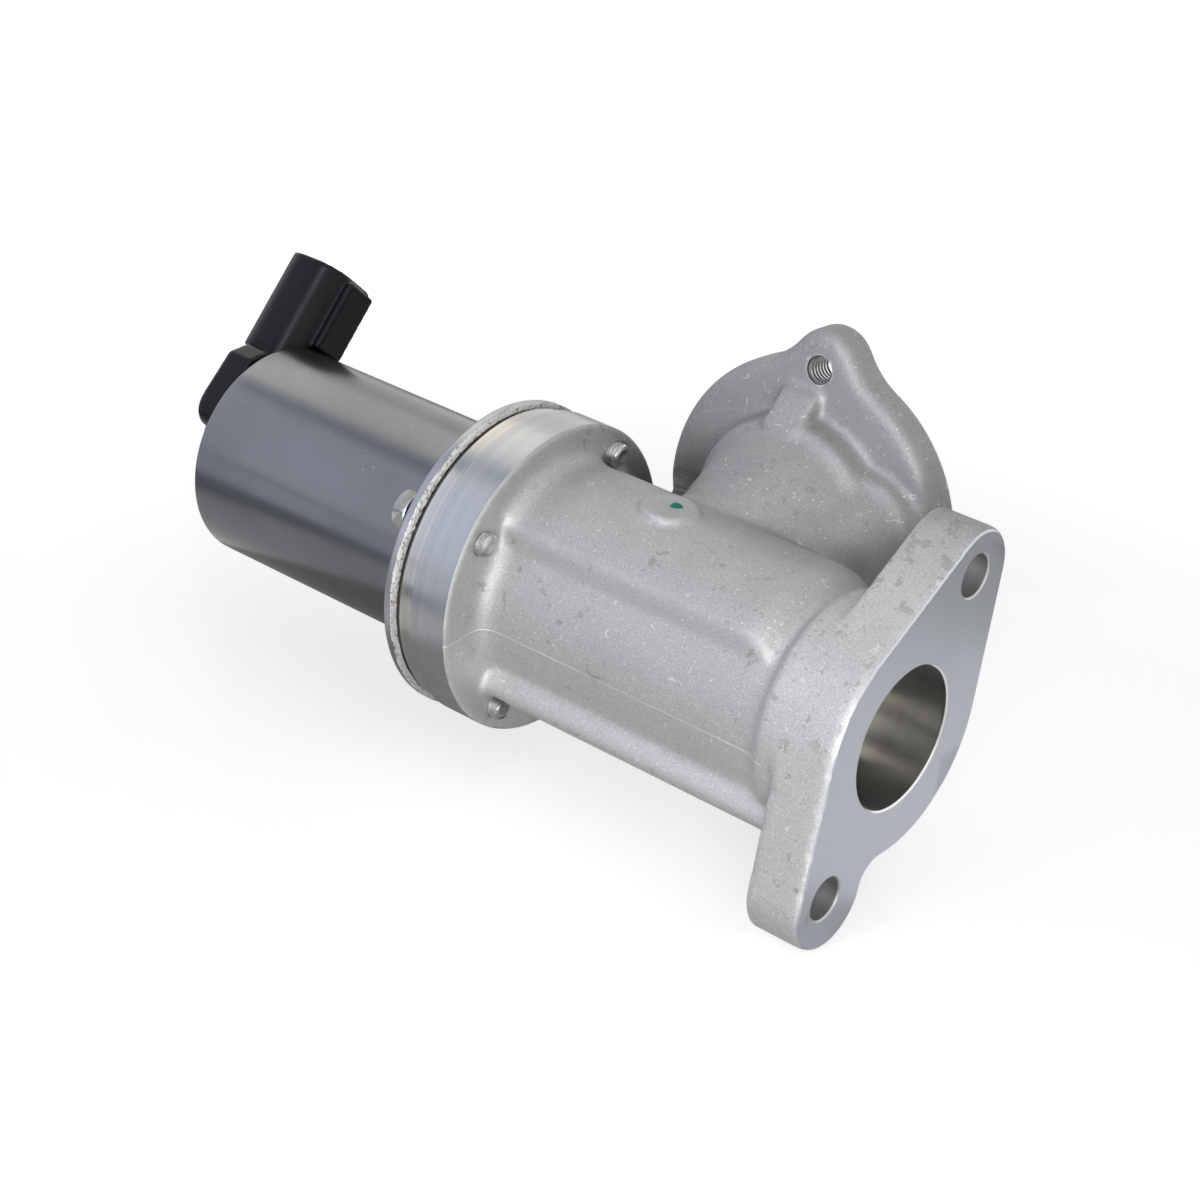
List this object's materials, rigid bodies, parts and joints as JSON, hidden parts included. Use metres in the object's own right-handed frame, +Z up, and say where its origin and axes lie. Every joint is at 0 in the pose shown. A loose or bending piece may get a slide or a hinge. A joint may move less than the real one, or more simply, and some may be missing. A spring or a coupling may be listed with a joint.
{
  "type": "exhaust gas recirculation valve",
  "caption": "Exhaust gas recirculation valve: cast body with oval inlet flange and eared outlet flange, solenoid that pulls a poppet valve open, rear cap with a slanted plug socket.",
  "frame": {"origin": "centre of the inlet port on its machined face", "axes": "+X along the valve axis, out of the inlet port; +Y out of the outlet port, square to its face; +Z up. The inlet flange's long axis leans 30 degrees from +Z towards +Y"},
  "size_m": [0.1828, 0.0755, 0.0954],
  "materials": {
    "cast_aluminium": "blasted casting with machined faces",
    "stainless_steel": "turned",
    "spring_steel": "bright drawn wire",
    "bush_bronze": "turned",
    "seal_rubber": "matte",
    "plate_steel": "cold-rolled, sheared edge",
    "gasket_sheet": "matte",
    "zinc_steel": "zinc plated",
    "can_steel": "satin, finely turned",
    "soft_iron": "turned",
    "bobbin_plastic": "moulded",
    "copper_wire": "enamelled wire",
    "black_plastic": "satin moulding",
    "tinned_brass": "tin plated"
  },
  "bodies": {
    "housing": {"valve_body": "cast_aluminium", "seat_ring": "stainless_steel", "guide_bush": "bush_bronze", "stem_seal": "seal_rubber", "deposit_shield": "stainless_steel", "base_plate": "plate_steel", "flange_gasket": "gasket_sheet", "flange_screws": "zinc_steel", "solenoid_can": "can_steel", "mounting_flange": "plate_steel", "lower_pole": "soft_iron", "guide_sleeve": "stainless_steel", "upper_pole": "soft_iron", "coil_bobbin": "bobbin_plastic", "coil_winding": "copper_wire", "return_spring": "spring_steel", "sensor_body": "bobbin_plastic", "sensor_spring": "spring_steel", "connector_cap": "black_plastic", "connector_terminals": "tinned_brass", "cap_seal": "seal_rubber"},
    "valve": {"valve_poppet": "stainless_steel", "valve_stem": "stainless_steel", "stem_clip": "spring_steel", "armature": "soft_iron"},
    "pickup": {"sensor_plunger": "bobbin_plastic"}
  },
  "joints": [
    {"name": "valve_lift", "type": "slide", "parent": "housing", "child": "valve", "axis": [-1, 0, 0], "range_m": [0, 0.0055], "stiffness_N_per_m": 3000, "springref_m": -0.005, "deforming": ["return_spring"]},
    {"name": "sensor_slide", "type": "slide", "parent": "housing", "child": "pickup", "axis": [-1, 0, 0], "range_m": [0, 0.0055], "stiffness_N_per_m": 200, "springref_m": -0.003, "deforming": ["sensor_spring"]}
  ],
  "couplings": [
    {"joint": "sensor_slide", "follows": "valve_lift", "ratio": 1}
  ]
}
